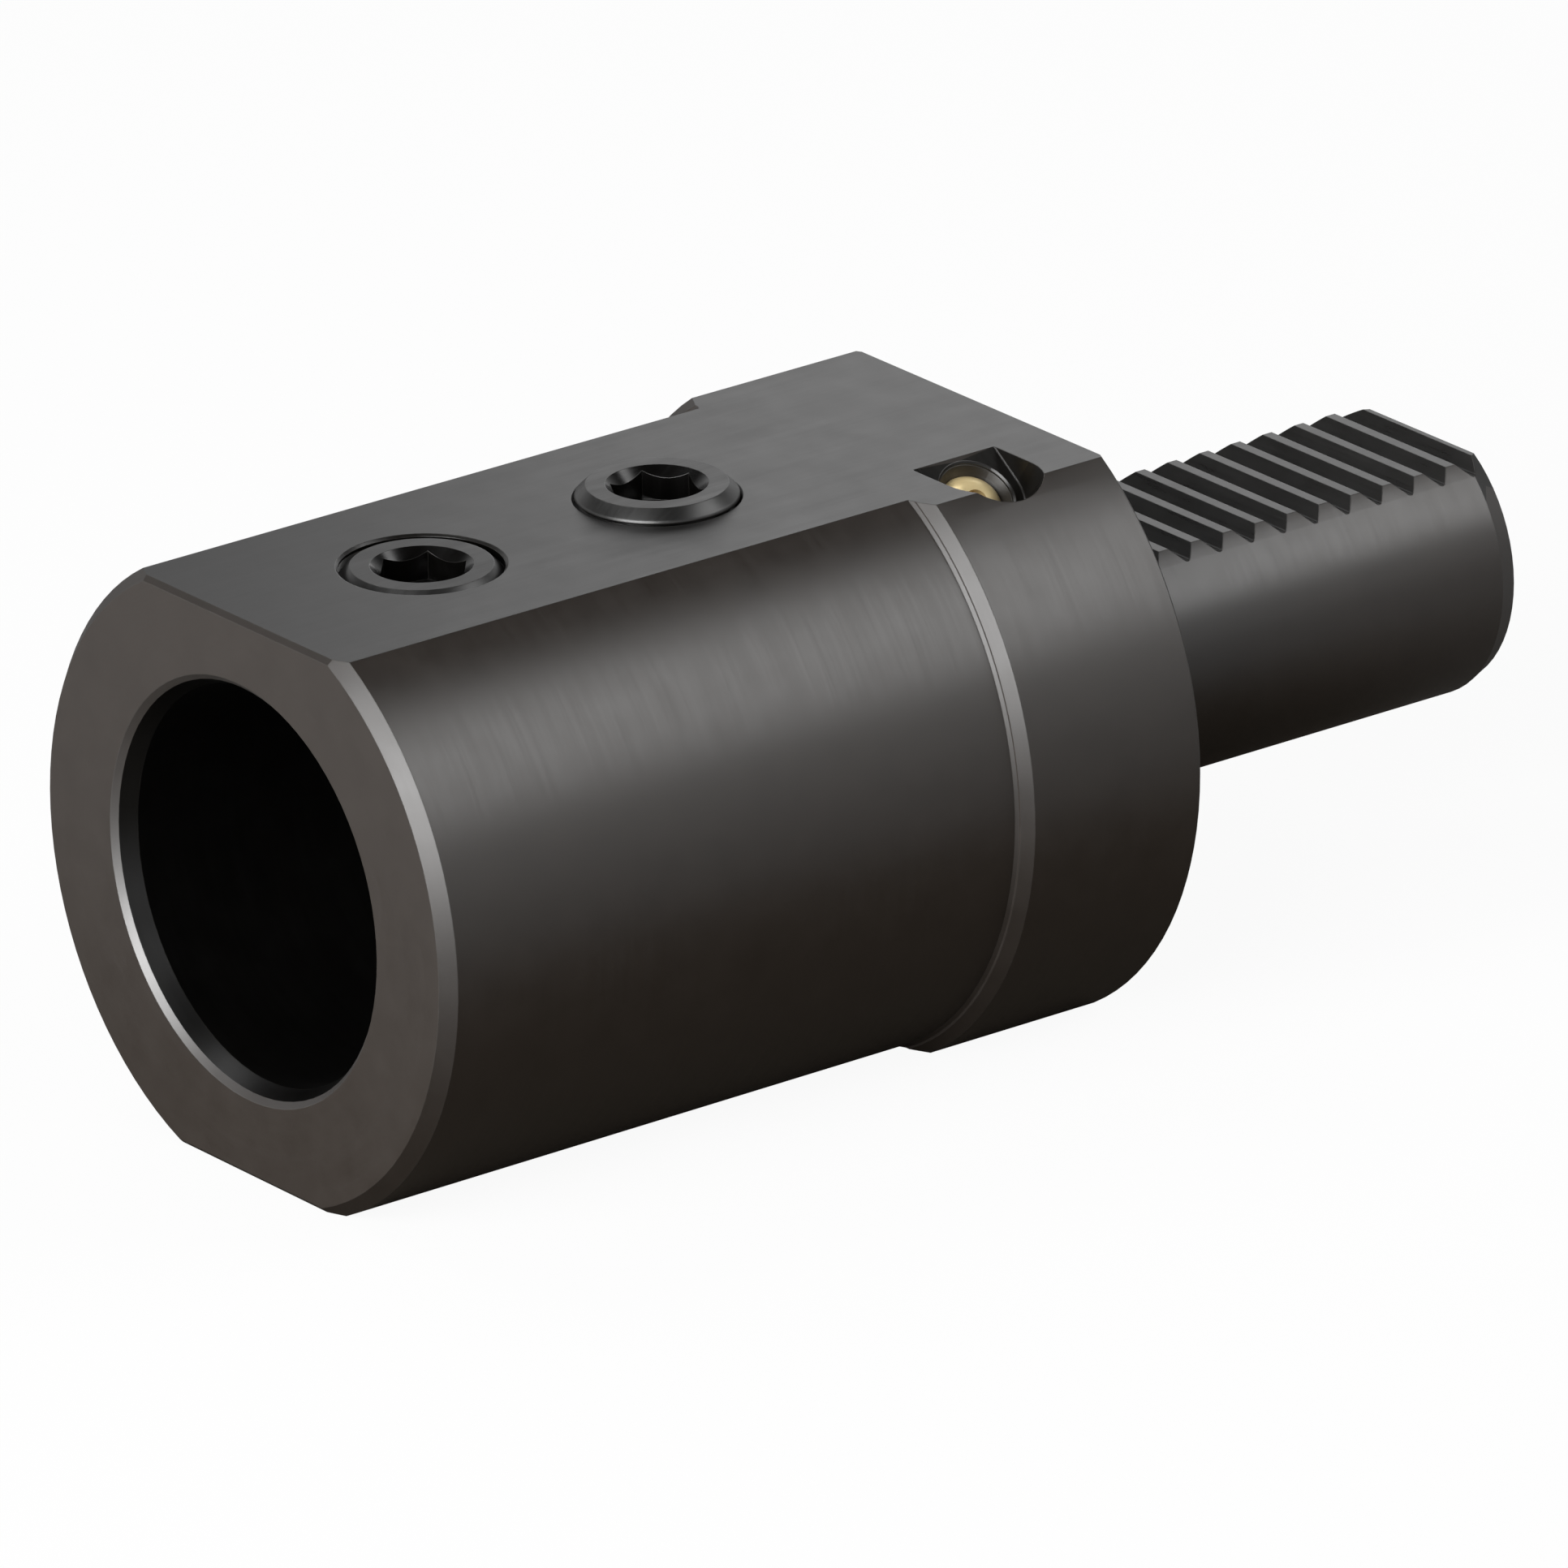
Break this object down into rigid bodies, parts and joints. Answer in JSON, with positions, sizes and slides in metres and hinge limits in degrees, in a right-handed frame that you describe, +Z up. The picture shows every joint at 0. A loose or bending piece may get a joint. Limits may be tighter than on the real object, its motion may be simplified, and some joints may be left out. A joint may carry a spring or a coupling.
{
  "type": "vdi tool holder",
  "caption": "Boring bar holder with a serrated cylindrical shank, round flange, flatted body, socket clamp screws and a swivelling coolant nozzle.",
  "frame": {"origin": "centre of the flange's rear locating face, on the shank axis", "axes": "+X out along the shank to its free end, +Z up to the flat with the clamp screws, -Y the side with the coolant nozzle"},
  "size_m": [0.145, 0.068, 0.0589],
  "materials": {
    "blackened_steel": "satin black oxide",
    "screw_steel": "hardened and oiled black",
    "ring_steel": "turned bright",
    "ball_brass": "polished",
    "seal_rubber": "matte"
  },
  "bodies": {
    "holder": {"holder_body": "blackened_steel", "nozzle_ring": "ring_steel", "nozzle_seal": "seal_rubber", "shank_plug": "screw_steel"},
    "front_screw": {"clamp_screw_front": "screw_steel"},
    "rear_screw": {"clamp_screw_rear": "screw_steel"},
    "nozzle": {"nozzle_ball": "ball_brass"}
  },
  "joints": [
    {"name": "front_screw_travel", "type": "slide", "parent": "holder", "child": "front_screw", "axis": [0, 0, 1], "range_m": [-0.0025, 0.004]},
    {"name": "rear_screw_travel", "type": "slide", "parent": "holder", "child": "rear_screw", "axis": [0, 0, 1], "range_m": [-0.0039, 0.0026]},
    {"name": "nozzle_swivel", "type": "hinge", "parent": "holder", "child": "nozzle", "pos_m": [-0.0114, -0.01215, 0.0228], "axis": [0, -0.8192, -0.5736], "range_deg": [-43, 22]}
  ]
}
